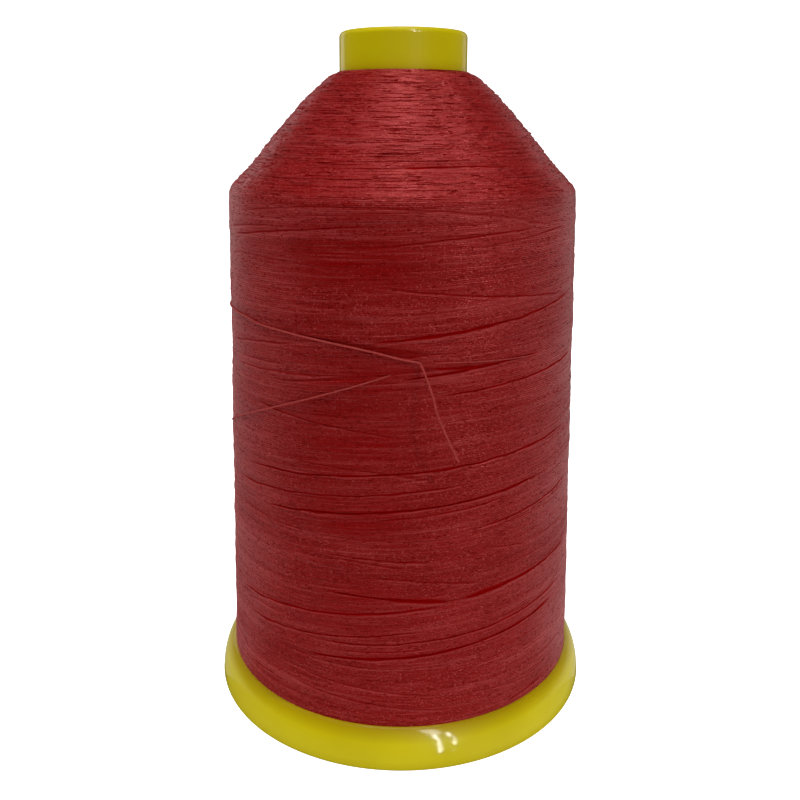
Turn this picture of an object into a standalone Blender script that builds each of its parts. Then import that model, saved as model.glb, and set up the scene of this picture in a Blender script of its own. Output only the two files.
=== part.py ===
"""Cone of sewing thread on a flanged spool.

A moulded plastic spool (wide foot flange, hollow tube, short nose) carries a wound package of thread:
a long body that narrows a little upwards, then a cone that closes on the nose. The last turn of the
thread crosses the body, bends at its tuck and ends in a short free tail.

Metres, +Z up. The flange stands on Z = 0, the winding's axis is the Z axis and the front faces -Y.
"""

import math

import bmesh
import bpy
import numpy as np

MM = 0.001
STEPS = 72                       # facets around every turned piece
FIT_GAP = 0.3 * MM               # clearance between the spool, the winding and the loose thread

# The spool, one moulding.
TOTAL_HEIGHT = 146.75 * MM
FLANGE_RADIUS = 44.5 * MM
LEDGE_HEIGHT = 8.4 * MM          # top of the flange, where the winding sits
LEDGE_RADIUS = 41.0 * MM         # where the flat ledge turns into the rounded rim
RIM_FOOT_HEIGHT = 1.4 * MM       # where the rounded rim ends and the plain foot begins
RIM_FOOT_RADIUS = 44.35 * MM
RIM_FULLNESS = 1.25              # 1 is a plain ellipse, more is closer to a straight chamfer
FOOT_EDGE_ROUND = 0.4 * MM
FLANGE_WALL = 2.4 * MM
NOSE_RADIUS = 13.25 * MM
NOSE_EDGE_ROUND = 1.1 * MM
TUBE_FOOT_RADIUS = 14.3 * MM
NOSE_BORE_RADIUS = 11.0 * MM
FOOT_BORE_RADIUS = 11.9 * MM

# The thread package.
THREAD_DIAMETER = 0.35 * MM
SHOULDER_HEIGHT = 115.2 * MM     # where the body ends and the cone begins
WOUND_FOOT_RADIUS = 40.95 * MM
WOUND_SHOULDER_RADIUS = 37.05 * MM
BAND_CROWN = 0.15 * MM           # how far a band's edges fall short of its middle
GROOVE_FLOOR_SHARE = 0.3         # depth kept on the far side of a groove, as a share of its depth

# The cone from the shoulder up to the nose. Columns: height_mm, radius_mm.
CONE_SECTIONS = (
    (116.6, 35.9),
    (118.8, 33.8),
    (122.0, 31.0),
    (126.0, 27.7),
    (130.0, 24.2),
    (134.0, 20.3),
    (136.6, 17.2),
    (138.2, 15.2),
)
CONE_TOP_HEIGHT = 139.0 * MM

# Grooves between the bands of the winding, from the foot up.
# Columns: height_mm at the groove's middle, middle_deg, rise_mm a radian, depth_mm, half_width_mm.
GROOVES = (
    (16.6, -12.0, -2.2, 0.25, 0.9),
    (25.8, 13.0, 3.6, 0.70, 1.1),
    (35.2, 0.0, 3.8, 0.80, 1.2),
    (46.2, 5.0, -1.0, 0.35, 0.9),
    (51.6, 2.0, 1.6, 0.40, 0.9),
    (57.0, 0.0, 3.6, 0.70, 1.1),
    (64.7, 5.0, 3.4, 0.55, 1.0),
    (73.6, -25.0, -2.2, 0.40, 0.9),
    (82.8, -15.0, 2.8, 0.60, 1.1),
    (92.6, 28.0, 3.4, 0.70, 1.2),
    (100.4, 22.0, -1.8, 0.40, 0.9),
    (108.2, -10.0, 2.2, 0.55, 1.0),
)

# The loose end's route, from where it leaves the winding to the cut end of its tail.
# Columns: angle_deg from the front, height_mm, lift_mm of its centre line off the winding.
LOOSE_END_ROUTE = (
    (-96.0, 90.4, 0.50),
    (-88.0, 91.1, 0.50),
    (-76.0, 91.6, 0.50),
    (-64.0, 91.7, 0.50),
    (-55.0, 91.5, 0.50),
    (-47.5, 91.0, 0.50),
    (-38.0, 90.75, 0.50),
    (-30.5, 90.35, 0.50),
    (-19.0, 89.6, 0.50),
    (-8.5, 88.55, 0.50),
    (-2.0, 87.55, 0.50),
    (1.6, 87.0, 0.51),
    (3.6, 86.8, 0.54),
    (4.8, 86.6, 0.60),
    (5.3, 86.15, 0.68),
    (5.7, 85.5, 0.82),
    (6.2, 84.6, 1.05),
    (7.1, 82.85, 1.62),
    (8.2, 80.3, 2.35),
    (9.2, 77.4, 2.95),
    (10.3, 75.3, 3.40),
    (12.1, 72.1, 3.70),
    (14.7, 68.0, 3.85),
)
LOOSE_END_POINTS = 78
SPLINE_SAMPLES = 40              # samples between two route points before the even spacing

# Colours and finishes. Columns: base colour, roughness, metallic.
FINISHES = {
    "moulded_plastic": ((0.52, 0.42, 0.01, 1.0), 0.35, 0.0),
    "wound_thread": ((0.16, 0.012, 0.014, 1.0), 0.7, 0.0),
    "loose_thread": ((0.24, 0.03, 0.03, 1.0), 0.7, 0.0),
}


def clear_scene():
    """Remove whatever objects the file holds."""
    for thing in list(bpy.data.objects):
        bpy.data.objects.remove(thing, do_unlink=True)


def make_material(name):
    """A Principled material with the finish's colour, roughness and metallic value."""
    colour, roughness, metallic = FINISHES[name]
    material = bpy.data.materials.new(name)
    material.use_nodes = True
    shader = material.node_tree.nodes["Principled BSDF"]
    shader.inputs["Base Color"].default_value = colour
    shader.inputs["Roughness"].default_value = roughness
    shader.inputs["Metallic"].default_value = metallic
    material.diffuse_color = colour
    return material


def quarter_round(centre_radius, centre_height, across, up, start, count, fullness=1.0):
    """Points of a quarter superellipse, from the angle start (radians) over 90 degrees clockwise."""
    points = []
    for step in range(count + 1):
        angle = start - 0.5 * math.pi * step / count
        cosine = math.copysign(abs(math.cos(angle)) ** fullness, math.cos(angle))
        sine = math.copysign(abs(math.sin(angle)) ** fullness, math.sin(angle))
        points.append((centre_radius + across * cosine, centre_height + up * sine))
    return points


def spool_profile():
    """The closed section of the spool: down its outside, across the foot and up through the bore."""
    nose_edge = quarter_round(
        NOSE_RADIUS - NOSE_EDGE_ROUND, TOTAL_HEIGHT - NOSE_EDGE_ROUND,
        NOSE_EDGE_ROUND, NOSE_EDGE_ROUND, 0.5 * math.pi, 4,
    )
    rim = quarter_round(
        LEDGE_RADIUS, RIM_FOOT_HEIGHT,
        RIM_FOOT_RADIUS - LEDGE_RADIUS, LEDGE_HEIGHT - RIM_FOOT_HEIGHT, 0.5 * math.pi, 9, RIM_FULLNESS,
    )
    foot_edge = quarter_round(
        FLANGE_RADIUS - FOOT_EDGE_ROUND, FOOT_EDGE_ROUND, FOOT_EDGE_ROUND, FOOT_EDGE_ROUND, 0.0, 2,
    )
    underside = [
        (FLANGE_RADIUS - FLANGE_WALL, 0.0),
        (FLANGE_RADIUS - FLANGE_WALL - 0.6 * MM, 0.3 * LEDGE_HEIGHT),
        (LEDGE_RADIUS - 0.5 * FLANGE_WALL, 0.58 * LEDGE_HEIGHT),
        (LEDGE_RADIUS - 1.3 * FLANGE_WALL, LEDGE_HEIGHT - FLANGE_WALL),
        (FOOT_BORE_RADIUS, LEDGE_HEIGHT - FLANGE_WALL),
    ]
    tube_foot = [(TUBE_FOOT_RADIUS, LEDGE_HEIGHT)]
    bore_mouth = [(NOSE_BORE_RADIUS, TOTAL_HEIGHT)]
    return nose_edge + tube_foot + rim + foot_edge + underside + bore_mouth


def tube_radius(height):
    """The tube's outside radius, which narrows evenly from the flange up to the nose."""
    share = (height - LEDGE_HEIGHT) / (TOTAL_HEIGHT - NOSE_EDGE_ROUND - LEDGE_HEIGHT)
    return TUBE_FOOT_RADIUS + (NOSE_RADIUS - TUBE_FOOT_RADIUS) * share


def body_radius(height):
    """The winding's outside radius on its body, a straight taper from the foot to the shoulder."""
    share = (height - LEDGE_HEIGHT) / (SHOULDER_HEIGHT - LEDGE_HEIGHT)
    return WOUND_FOOT_RADIUS + (WOUND_SHOULDER_RADIUS - WOUND_FOOT_RADIUS) * share


def package_profile():
    """The closed section of the winding: down the cone and the body, then up its bore."""
    foot = LEDGE_HEIGHT + FIT_GAP
    cone_top = [
        (tube_radius(CONE_TOP_HEIGHT) + FIT_GAP, CONE_TOP_HEIGHT),
        (tube_radius(CONE_TOP_HEIGHT) + 2 * FIT_GAP, CONE_TOP_HEIGHT),
    ]
    cone = [(radius * MM, height * MM) for height, radius in reversed(CONE_SECTIONS)]
    body = [(body_radius(SHOULDER_HEIGHT), SHOULDER_HEIGHT)]
    edge_above = SHOULDER_HEIGHT
    for height_mm, _middle, _rise, _depth, half_width_mm in reversed(GROOVES):
        height = height_mm * MM
        half_width = half_width_mm * MM
        middle_of_band = 0.5 * (edge_above + height + half_width)
        body.append((body_radius(middle_of_band), middle_of_band))
        for level in (height + half_width, height, height - half_width):
            body.append((body_radius(level) - BAND_CROWN, level))
        edge_above = height - half_width
    body.append((body_radius(0.5 * (edge_above + foot)), 0.5 * (edge_above + foot)))
    body.append((body_radius(foot + 2 * FIT_GAP), foot + 2 * FIT_GAP))
    body.append((body_radius(foot) - 2 * FIT_GAP, foot))
    bore_foot = [(tube_radius(foot) + FIT_GAP, foot)]
    return cone_top + cone + body + bore_foot


def turned_object(name, profile, material, collection):
    """A closed section turned about Z by a Screw modifier."""
    mesh = bpy.data.meshes.new(name)
    points = [(radius, 0.0, height) for radius, height in profile]
    edges = [(index, (index + 1) % len(points)) for index in range(len(points))]
    mesh.from_pydata(points, edges, [])
    mesh.materials.append(material)
    turned = bpy.data.objects.new(name, mesh)
    collection.objects.link(turned)
    screw = turned.modifiers.new("turn", "SCREW")
    screw.axis = "Z"
    screw.steps = STEPS
    screw.render_steps = STEPS
    screw.use_merge_vertices = True
    screw.merge_threshold = 0.00001
    screw.use_smooth_shade = True
    return turned


def carve_grooves(package):
    """Sink and tilt the groove rows of the turned winding.

    A groove's height follows the sine of the angle from its middle, so it closes on itself, and its
    depth fades by the squared cosine of half that angle. Rows between two grooves share their tilt.
    """
    scene_view = bpy.context.evaluated_depsgraph_get()
    mesh = bpy.data.meshes.new_from_object(package.evaluated_get(scene_view))
    package.modifiers.clear()
    package.data = mesh
    places = np.empty(3 * len(mesh.vertices), dtype=np.float64)
    mesh.vertices.foreach_get("co", places)
    places = places.reshape(-1, 3)
    radius = np.hypot(places[:, 0], places[:, 1])
    angle = np.arctan2(places[:, 0], -places[:, 1])
    height = places[:, 2].copy()
    outside = radius > body_radius(height) - 0.5 * MM
    outside &= height <= SHOULDER_HEIGHT + 0.01 * MM

    table = np.array(GROOVES)
    levels = np.concatenate(([LEDGE_HEIGHT], table[:, 0] * MM, [SHOULDER_HEIGHT]))
    turn = angle[:, None] - np.radians(table[:, 1])
    lifts = np.zeros((len(places), len(levels)))
    lifts[:, 1:-1] = table[:, 2] * MM * np.sin(turn)
    below = np.clip(np.searchsorted(levels, height) - 1, 0, len(levels) - 2)
    share = (height - levels[below]) / (levels[below + 1] - levels[below])
    rows = np.arange(len(places))
    lift = (1.0 - share) * lifts[rows, below] + share * lifts[rows, below + 1]

    distance = np.abs(height[:, None] - table[:, 0] * MM) / (table[:, 4] * MM)
    fade = GROOVE_FLOOR_SHARE + (1.0 - GROOVE_FLOOR_SHARE) * np.cos(0.5 * turn) ** 2
    depth = np.sum(table[:, 3] * MM * fade * np.clip(1.0 - distance, 0.0, None), axis=1)

    new_height = height + np.where(outside, lift, 0.0)
    taper = np.where(outside, body_radius(new_height) - body_radius(height), 0.0)
    new_radius = radius + taper - np.where(outside, depth, 0.0)
    places[:, 0] *= new_radius / radius
    places[:, 1] *= new_radius / radius
    places[:, 2] = new_height
    mesh.vertices.foreach_set("co", places.ravel())
    mesh.update()


def loose_end_route():
    """Evenly spaced points on a smooth curve (Catmull-Rom) through the route's own points."""
    table = np.array(LOOSE_END_ROUTE)
    angle = np.radians(table[:, 0])
    height = table[:, 1] * MM
    radius = body_radius(height) + table[:, 2] * MM
    knots = np.column_stack((radius * np.sin(angle), -radius * np.cos(angle), height))
    padded = np.vstack((2 * knots[0] - knots[1], knots, 2 * knots[-1] - knots[-2]))
    before, start, end, after = (padded[shift:shift + len(knots) - 1] for shift in range(4))
    share = np.linspace(0.0, 1.0, SPLINE_SAMPLES, endpoint=False)[None, :, None]
    before, start, end, after = (corner[:, None, :] for corner in (before, start, end, after))
    curve = 0.5 * (
        2 * start
        + (end - before) * share
        + (2 * before - 5 * start + 4 * end - after) * share**2
        + (3 * start - before - 3 * end + after) * share**3
    )
    curve = np.vstack((curve.reshape(-1, 3), knots[-1]))
    walked = np.concatenate(([0.0], np.cumsum(np.linalg.norm(np.diff(curve, axis=0), axis=1))))
    even = np.linspace(0.0, walked[-1], LOOSE_END_POINTS)
    return np.column_stack([np.interp(even, walked, curve[:, axis]) for axis in range(3)])


def make_loose_end(material, collection):
    """The last turn of thread and its tail, a round cord along its route."""
    curve = bpy.data.curves.new("loose_end", "CURVE")
    curve.dimensions = "3D"
    curve.bevel_depth = 0.5 * THREAD_DIAMETER
    curve.bevel_resolution = 2
    curve.use_fill_caps = True
    curve.materials.append(material)
    route = loose_end_route()
    spline = curve.splines.new("POLY")
    spline.points.add(len(route) - 1)
    spline.points.foreach_set("co", np.column_stack((route, np.ones(len(route)))).ravel())
    spline.use_smooth = True
    loose_end = bpy.data.objects.new("loose_end", curve)
    collection.objects.link(loose_end)
    return loose_end


def face_outwards(package):
    """Recalculate the winding's normals after its points have moved, and shade it smooth."""
    shape = bmesh.new()
    shape.from_mesh(package.data)
    bmesh.ops.recalc_face_normals(shape, faces=shape.faces)
    shape.to_mesh(package.data)
    shape.free()
    package.data.shade_smooth()


def main():
    clear_scene()
    collection = bpy.data.collections.new("cone_of_thread")
    bpy.context.scene.collection.children.link(collection)
    turned_object("spool", spool_profile(), make_material("moulded_plastic"), collection)
    package = turned_object("thread_package", package_profile(), make_material("wound_thread"), collection)
    carve_grooves(package)
    face_outwards(package)
    make_loose_end(make_material("loose_thread"), collection)


main()
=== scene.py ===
"""Looks of a cone of sewing thread: the winding turn by turn, its loose turns and tail, and the spool.

Laid out as a Blender add-on and run as a script. Metres, +Z up, the winding's axis is the Z axis and the
front faces -Y. Angles run from the front, towards +X.
"""

import math

import bpy
import numpy as np
from bpy.props import FloatProperty, FloatVectorProperty, IntProperty, PointerProperty
from mathutils import Matrix, Vector


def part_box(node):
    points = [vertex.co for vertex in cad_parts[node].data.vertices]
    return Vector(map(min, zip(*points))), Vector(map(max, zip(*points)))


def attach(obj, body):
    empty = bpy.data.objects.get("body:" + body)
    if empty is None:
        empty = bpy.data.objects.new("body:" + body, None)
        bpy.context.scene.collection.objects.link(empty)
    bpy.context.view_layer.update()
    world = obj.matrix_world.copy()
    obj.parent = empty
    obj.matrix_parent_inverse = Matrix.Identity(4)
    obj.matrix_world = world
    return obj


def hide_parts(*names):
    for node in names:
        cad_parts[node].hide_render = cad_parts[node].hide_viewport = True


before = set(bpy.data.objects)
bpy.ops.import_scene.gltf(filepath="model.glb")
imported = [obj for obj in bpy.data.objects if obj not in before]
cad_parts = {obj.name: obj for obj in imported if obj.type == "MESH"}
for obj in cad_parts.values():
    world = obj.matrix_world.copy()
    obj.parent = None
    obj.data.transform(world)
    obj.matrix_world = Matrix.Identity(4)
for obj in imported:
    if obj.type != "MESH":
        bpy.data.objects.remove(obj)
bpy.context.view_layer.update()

bl_info = {
    "name": "Cone of thread",
    "version": (1, 0, 0),
    "blender": (4, 5, 0),
    "location": "3D View > Sidebar > Thread",
    "description": "Builds a wound cone of sewing thread on its moulded spool",
    "category": "Add Mesh",
}

MM = 0.001
SPOOL_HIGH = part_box("spool")[1]
WHITE = (1.0, 1.0, 1.0)
BLACK = (0.0, 0.0, 0.0)
LEAST_SPREAD = 1e-9              # keeps a flat field of noise from being divided by nothing

# The winding's outside, from the flange up to the nose. Columns: height_mm, radius_mm.
WINDING_SECTION = (
    (8.41, 40.98), (9.2, 40.96), (21.8, 40.48), (48.4, 39.48), (75.1, 38.5), (101.7, 37.54), (112.4, 37.24),
    (115.3, 37.12), (116.7, 36.4), (118.8, 34.15), (122, 31.15), (126, 27.8), (130, 24.25),
    (134, 20.35), (136.6, 17.4), (138.2, 15.5), (139, 13.62),
)
SHOULDER_DISTANCE = 106.6 * MM   # from the foot of the winding up its side to the cone
CONE_FOOT_HEIGHT = 114.4 * MM
SECTION_ROUNDING = 1.0 * MM      # the section's corners are averaged over this length
SECTION_STEP = 0.05 * MM         # and it is sampled this finely
ROWS_A_TURN = 4                  # rows of points in one turn of thread
FLANK_SHARE = 0.28               # how far the rows beside a crest lie down, against the valley's depth
SHOULDER_RUN = 3.0 * MM          # the body's turns change to the cone's over this length
ENDS_RUN = 0.4 * MM              # the relief fades out over this length at both ends
BORE_CLEARANCE = 0.4 * MM        # from the nose to the winding's inner wall
THINNEST_WALL = 0.02 * MM

# How the turns slant. Columns: distance_mm up the side, middle_deg, rise_mm a radian.
SLANTS = (
    (0, 0, 0), (8, 0, 0.4), (17, 10, 3.2), (27, 0, 3.8), (38, 5, 1.6),
    (48.5, 0, 3.6), (57, 0, 3.2), (66, -10, 1.4), (75, -10, 2.8), (86, 20, 2.6),
    (96, 10, 1), (103, -5, 1.4), (108, 0, 0.4), (141, 0, 0),
)

# Dark grooves where one band of turns ends against the next, as they lie on the front.
# Columns: start_deg, start_mm, middle_deg, middle_mm, end_deg, end_mm, depth_mm, width at start, at end.
GROOVES = (
    (-64, 103.6, -8, 106.2, 60, 100.8, 0.25, 0.4, 0.4),
    (-10, 99, 18, 100.9, 46, 102.1, 0.35, 0.3, 0.3),
    (20, 98.8, 41, 100.5, 62, 101.8, 0.25, 0.3, 0.2),
    (-68, 98.9, -35, 101.6, -5, 103.3, 0.35, 0.3, 0.3),
    (-70, 100.5, -55, 101.6, -40, 102.5, 0.25, 0.2, 0.3),
    (-72, 95.2, -30, 95.6, -15, 94.5, 0.2, 0.3, 0.2),
    (-12, 92.5, 20, 90.3, 62, 88.3, 0.35, 0.3, 0.4),
    (-14, 81.4, 20, 84, 70, 88.2, 0.5, 0.6, 0.3),
    (-70, 77, -50, 79, -30, 80.5, 0.3, 0.2, 0.4),
    (-62, 74.8, -48, 75.5, -35, 76, 0.25, 0.2, 0.3),
    (-70, 72.8, -20, 75, 18, 77.4, 0.3, 0.3, 0.4),
    (-3, 74.5, 20, 76.4, 47, 77.8, 0.6, 0.4, 0.3),
    (6, 77, 24, 77, 40, 77.8, 0.5, 0.6, 0.2),
    (8, 71.4, 40, 73.1, 72, 74.6, 0.5, 0.3, 0.3),
    (-53, 66.8, -25, 65.2, 4, 63.2, 0.35, 0.3, 0.3),
    (-20, 62.3, -2, 61, 15, 59.5, 0.2, 0.2, 0.3),
    (-62, 52, 5, 56.5, 70, 60, 0.55, 0.4, 0.3),
    (-38, 56.7, -10, 56.5, 10, 55, 0.3, 0.2, 0.5),
    (-70, 47, -20, 50.8, 25, 54, 0.4, 0.3, 0.4),
    (-50, 44.8, 0, 48.5, 52, 52, 0.7, 0.5, 0.4),
    (-10, 46.3, 15, 48, 35, 49.5, 0.35, 0.3, 0.3),
    (-70, 42.5, -20, 42, 20, 42.3, 0.2, 0.2, 0.2),
    (20, 43.5, 45, 45.2, 70, 47, 0.4, 0.3, 0.3),
    (-25, 38.3, -8, 37.9, 10, 37.3, 0.35, 0.2, 0.4),
    (25, 39, 33, 38.2, 42, 37, 0.3, 0.3, 0.2),
    (-20, 37.5, -8, 36.9, 3, 36.2, 0.3, 0.2, 0.3),
    (-10, 34.2, 10, 33, 25, 31.5, 0.35, 0.2, 0.4),
    (-25, 29.8, 0, 29.3, 16, 28.3, 0.8, 0.3, 1),
    (14, 28.3, 40, 30.3, 70, 31.2, 0.6, 0.7, 0.3),
    (-66, 21.3, -20, 25, 16, 28, 0.5, 0.3, 0.6),
    (-60, 16.8, -25, 19.4, 10, 22.8, 0.45, 0.3, 0.4),
    (-33, 18, 15, 20.3, 65, 24, 0.45, 0.3, 0.4),
    (-34, 14, 10, 17, 60, 21, 0.75, 0.6, 0.4),
    (-20, 16.7, -5, 17.5, 10, 18.5, 0.3, 0.2, 0.3),
    (-40, 14, -10, 13.5, 20, 14.5, 0.25, 0.2, 0.2),
    (-33, 10, -12, 8.7, 12, 7, 0.3, 0.2, 0.3),
    (-38, 7, -15, 5.5, 18, 3, 0.3, 0.2, 0.3),
    (-15, 6.5, -5, 6, 5, 5.5, 0.25, 0.2, 0.2),
    (-56, 4.5, -48, 4.8, -42, 5.2, 0.35, 0.2, 0.2),
    (20, 6.5, 35, 5.5, 50, 4, 0.25, 0.2, 0.2),
    (34, 0.9, 42, 1.5, 52, 2.2, 0.35, 0.2, 0.2),
    (-4, 114.8, 20, 115.2, 44, 114.8, 0.4, 0.3, 0.3),
)
GROOVE_WIDTH_SHARE = 0.42        # the drawn groove against the widths in the table
NARROWEST_GROOVE = 0.15 * MM     # half the width of the narrowest
GROOVE_DEPTH_SHARE = 0.36        # the drawn groove against the depths in the table
LIP_SHARE = 0.30                 # how far the next band's lip stands up, against the groove's depth
LIP_BELOW, LIP_SPREAD = 2.4, 0.9     # the lip's place under a groove and its spread, in groove widths
LIP_OFF = 0.05 * MM              # where another groove is deeper than this, the lip is left out
# The dark in a groove and the faint shade above it are painted shade, in the material's deep colour.
SHADE_SPREAD = 1.5               # of the dark in a groove, in groove widths
SHADE_ABOVE_SHARE = 0.55                # how dark the faint shade above a groove is, against the groove
SHADE_ABOVE_HEIGHT, SHADE_ABOVE_SPREAD = 0.35 * MM, 0.75 * MM
WANDER = 0.05 * MM               # how far a groove strays from its line
BACK_STRETCH = 1.42              # the grooves of the hidden side are the front's, turned and stretched
BACK_RISE = 0.4                  # and their middles are raised by this, in mm

# Painted shade: soft-edged stretches where the thread is painted darker and purer red, with less gloss.
# Columns: middle_deg, middle_mm, half_width_deg, half_height_mm, rise_mm over the half width, share.
PAINTED_SHADE_STRETCHES = (
    (-8, 104.5, 14, 1.9, 0.2, 0.55),
    (-9, 74.9, 14.5, 4.3, 0.8, 0.6),
    (-30, 63.4, 8, 0.9, -0.3, 0.35),
    (-21.5, 56.9, 15, 1.5, -0.3, 0.55),
    (-10.5, 44.2, 13.5, 1.7, -0.4, 0.45),
    (-8, 30.8, 12.5, 2.4, -1.7, 0.5),
    (-13, 21.9, 21, 2.4, -0.5, 0.35),
    (30, 67.5, 10, 1.2, 0.6, 0.25),
    (-14, 96.5, 20, 5, 0.3, 0.7),
    (-14, 64, 17, 7, -0.6, 0.65),
    (-13, 46.5, 17, 6, -0.5, 0.65),
    (-16, 27, 13, 8, -0.4, 0.5),
    (150, 80, 22, 2.6, 0.8, 0.45),
    (205, 48, 20, 2.2, -0.8, 0.45),
    (118, 30, 16, 2, 0.6, 0.4),
)

# Wedge-shaped hollows, where the turns of one band run off under a turn that bridges them: at the tuck,
# to its left, to its right and low down. Columns: angle_deg, lower_edge_mm, upper_edge_mm.
WEDGES = (
    (
        (-42, 82, 82.05), (-30, 81.75, 82.35), (-23, 81.25, 82.3), (-12, 80.15, 81.75),
        (-6, 79.4, 81.4), (-1.7, 78.9, 81.1), (2.5, 78.6, 80.7), (5.5, 79.2, 80.3), (12, 79.55, 79.95),
        (19.5, 79.6, 79.65),
    ),
    (
        (-47, 72.05, 72.1), (-34.3, 72.4, 73.2), (-30.6, 72.75, 73.65), (-17.5, 74, 75.3),
        (-10.8, 74.5, 75.75), (-4, 75.45, 76.05), (0, 75.9, 76),
    ),
    (
        (1.5, 76.9, 77.1), (8, 76.6, 77.35), (20, 76.95, 77.45), (34, 77.45, 77.85),
        (46, 77.6, 77.65),
    ),
    (
        (-26, 29.7, 29.75), (-10, 29.3, 29.85), (4, 28.7, 29.55), (14, 28.1, 28.95),
        (24, 28.6, 29.15), (36, 29.85, 29.95),
    ),
)
WEDGE_DEPTH = 0.20 * MM
WEDGE_RUN = 0.40 * MM            # from an edge of the hollow in to its full depth

# Single turns that stand off the winding.
# Columns: start_deg, start_mm, middle_deg, middle_mm, end_deg, end_mm, lift_mm in the middle, diameter_mm.
LOOSE_TURNS = (
    (-102, 50, -40, 66.9, -3, 75.8, 0.26, 0.32),
    (2, 78.3, 24, 77.75, 52, 76.9, 0.04, 0.24),
    (98, 70, 140, 63, 205, 55, 0.12, 0.32),
    (120, 92, 170, 87.5, 225, 84, 0.06, 0.28),
    (105, 34, 160, 29, 230, 22, 0.02, 0.24),
    (128, 46, 182, 42.5, 240, 36, 0.02, 0.24),
)

# The loose end's route, from where it leaves the winding to the cut end of its tail.
# Columns: angle_deg, height_mm, lift_mm of its centre line off the winding.
LOOSE_END_ROUTE = (
    (-96, 90.4, -0.12), (-88, 91.1, 0.06), (-76, 91.6, 0.14), (-64, 91.7, 0.15),
    (-55, 91.5, 0.15), (-47.5, 91, 0.15), (-38, 90.75, 0.16), (-30.5, 90.35, 0.16),
    (-19, 89.6, 0.17), (-8.5, 88.55, 0.19), (-2, 87.55, 0.2), (1.6, 87, 0.22), (3.6, 86.8, 0.27),
    (4.8, 86.6, 0.37), (5.3, 86.15, 0.5), (5.7, 85.5, 0.68), (6.2, 84.6, 0.98), (7.1, 82.85, 1.6),
    (8.2, 80.3, 2.35), (9.2, 77.4, 2.95), (10.3, 75.3, 3.4), (12.1, 72.1, 3.7), (14.7, 68, 3.85),
)
LOOSE_POINTS = 460               # along the loose end's route
TURN_POINTS = 120                # along a loose turn
SINK = 0.30 * MM                 # how far a loose turn's ends dive into the winding
# The solid winding's even taper, which the loose end's lift is counted from.
WOUND_FOOT_RADIUS, WOUND_SHOULDER_RADIUS = 40.95 * MM, 37.05 * MM
WOUND_FOOT_HEIGHT, WOUND_SHOULDER_HEIGHT = 8.4 * MM, 115.2 * MM

# Painted shade: short dark dashes in the gaps between turns. Columns: turns in a row of them, length_mm,
# cover (less is more dashes), how far the cone and the mottling change it, half width in rows, seed,
# darkness.
DASHES = (
    (1.0, 1.3, 0.62, -0.05, 1.0, 0.30, 3.1, 0.85),
    (2.3, 2.6, 0.80, -0.20, 1.0, 0.18, 41.7, 0.95),
    (1.0, 4.0, 0.58, 0.0, 0.0, 0.32, 17.3, 0.30),
)

# Painted shade and painted red light thrown back by the winding: the plastic is painted darker and browner
# where it lies against the winding. Columns: share of the height, colour.
PAINTED_SHADE_AND_RED_BOUNCE = ((0.039, WHITE), (0.061, (0.62, 0.48, 0.60)), (0.926, (0.90, 0.72, 0.60)), (0.960, WHITE))

LIGHTS_AIM = Vector((0.0, 0.0, 0.075))
# The studio's lights. The last two columns say whether a light falls on matt surfaces, on glossy ones or on
# both, and which pieces it falls on: all of them, the threads or the spool.
# Columns: name, round_from_the_front_deg, above_deg, distance_m, size_m, power_w, surfaces, pieces.
STUDIO_LIGHTS = (
    ("key", 58, 42, 1, (0.05, 0.05), 2.3, "both", "threads"),
    ("spool_key", 58, 42, 1, (0.05, 0.05), 2.35, "matt", "spool"),
    ("front_low", -20, 12, 1, (0.33, 0.45), 0.35, "matt", "all"),
    ("front_right_high", 30, 68, 1, (0.5, 0.5), 0.8, "matt", "all"),
    ("front_left_high", -30, 68, 1, (0.5, 0.5), 1.1, "matt", "all"),
    ("right_high", 90, 68, 1, (0.5, 0.5), 0.5, "matt", "all"),
    ("left_high", -90, 68, 1, (0.5, 0.5), 2.3, "matt", "all"),
    ("left", -90, 42, 1, (0.45, 0.45), 1.3, "matt", "all"),
    ("overhead", 0, 88, 1, (0.5, 0.5), 1.6, "both", "all"),
    ("front_shine", 12, 76, 1, (0.4, 0.4), 3.2, "gloss", "threads"),
    ("front_right_shine", 30, 68, 1, (0.5, 0.5), 1.5, "gloss", "threads"),
    ("back_left_shine", -140, 12, 1, (0.33, 0.45), 0.5, "gloss", "all"),
    ("back_right_shine", 140, 12, 1, (0.33, 0.45), 0.3, "gloss", "all"),
    ("wide_pane", 20.5, 22.5, 3, (0.12, 0.7), 14, "gloss", "spool"),
    ("narrow_pane", 28.5, 22.5, 3, (0.09, 0.7), 8.5, "gloss", "spool"),
    ("wide_pane_foot", 20.5, -8.7, 0.35, (0.012, 0.146), 0.24, "gloss", "spool"),
    ("narrow_pane_foot", 28.5, -8.7, 0.35, (0.009, 0.146), 0.15, "gloss", "spool"),
    ("upper_pane", 21, 44, 3, (0.4, 1.6), 30, "gloss", "spool"),
)
# Pale paper on the floor. Columns: name, first_deg, last_deg, reach_m, glow, surfaces.
FLOOR_SHEETS = (
    ("near_floor", 0, 360, 0.13, 1.32, "matt"),
    ("shine_right", 75, 150, 1.2, 0.55, "gloss"),
    ("shine_left", 210, 285, 1.2, 0.38, "gloss"),
    ("shine_front", 20, 75, 1.2, 0.19, "gloss"),
)
FLOOR_GLOW = 0.92                # of the floor that is seen
FILL_GLOW = 0.72                 # of the unseen one that lights the object


# ---- Settings that a user would change ----

def length_setting(name, words, default):
    """A length that may be set from a tenth of its default to ten times as much."""
    return FloatProperty(
        name=name, description=words, default=default, min=0.1 * default, max=10.0 * default,
        precision=5, subtype="DISTANCE", unit="LENGTH",
    )


def angle_setting(name, words, default):
    """An angle in radians, up to a right angle or so either way."""
    return FloatProperty(
        name=name, description=words, default=default, min=-1.5, max=1.5, subtype="ANGLE", unit="ROTATION",
    )


def colour_setting(name, words, default):
    """A colour as three shares of light."""
    return FloatVectorProperty(
        name=name, description=words, default=default, min=0.0, max=1.0, subtype="COLOR",
    )


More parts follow.
